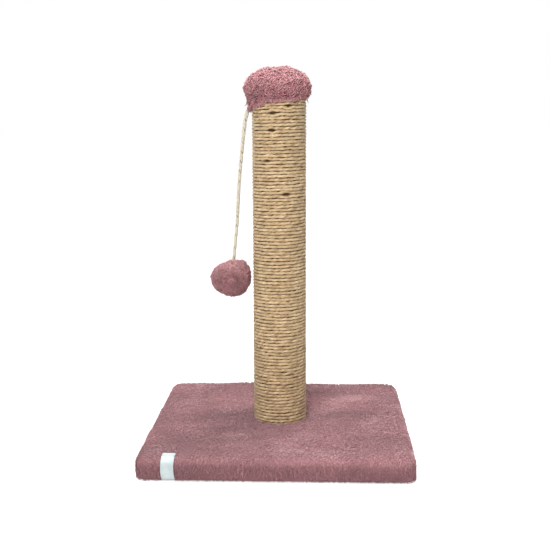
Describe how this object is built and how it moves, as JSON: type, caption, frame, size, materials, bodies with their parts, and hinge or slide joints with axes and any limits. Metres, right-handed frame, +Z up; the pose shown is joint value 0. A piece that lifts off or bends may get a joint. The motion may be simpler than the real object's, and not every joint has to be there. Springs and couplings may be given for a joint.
{
  "type": "cat scratching post",
  "caption": "Cat scratching post: a rope-wound tube on a square plush-covered board, with a plush cap and a plush ball hanging from it on a cord.",
  "frame": {"origin": "on the floor, under the middle of the square base and of the post", "axes": "+Z up along the post, -Y towards the front edge that carries the ribbon, and the ball hangs on the -X side"},
  "size_m": [0.35, 0.35, 0.511],
  "materials": {
    "base_plush": "dusty pink curly plush, matte",
    "cap_plush": "dusty pink curly plush, matte, a little brighter than the base",
    "ball_plush": "dusty pink short plush, matte",
    "jute_rope": "golden twisted jute, matte",
    "white_ribbon": "white woven ribbon, slight sheen, bare",
    "toy_cord_cotton": "cream twisted cotton, matte",
    "wadding": "white polyester wadding, matte",
    "board_wood": "bare chipboard, matte",
    "plug_wood": "bare softwood, matte",
    "cardboard": "spiral-wound cardboard, matte",
    "zinc_steel": "bright zinc plating, satin",
    "staple_steel": "bright galvanised wire, satin"
  },
  "bodies": {
    "stand": {"base_board": "board_wood", "base_cover": "base_plush", "cover_staples": "staple_steel", "side_tape": "white_ribbon", "post_washer": "zinc_steel", "post_bolt": "zinc_steel", "post_tube": "cardboard", "lower_plug": "plug_wood", "upper_plug": "plug_wood", "threaded_insert": "zinc_steel", "lower_plug_staples": "staple_steel", "upper_plug_staples": "staple_steel", "rope_winding": "jute_rope", "cap_pad": "wadding", "cap_cover": "cap_plush", "cap_staples": "staple_steel"},
    "knot": {"top_knot": "toy_cord_cotton"},
    "cord": {"toy_cord": "toy_cord_cotton", "ball_knot": "toy_cord_cotton"},
    "ball": {"ball_cover": "ball_plush", "ball_filling": "wadding"}
  },
  "joints": [
    {"name": "toy_swing_side", "type": "hinge", "parent": "stand", "child": "knot", "pos_m": [-0.0399, 0, 0.45612], "axis": [1, 0, 0], "range_deg": [-60, 60]},
    {"name": "toy_swing_out", "type": "hinge", "parent": "knot", "child": "cord", "pos_m": [-0.0399, 0, 0.45612], "axis": [0, 1, 0], "range_deg": [0, 75]},
    {"name": "ball_turn", "type": "hinge", "parent": "cord", "child": "ball", "pos_m": [-0.0656, 0, 0.22695], "axis": [-0.1114, 0, -0.9938], "range_deg": [-180, 180]}
  ]
}
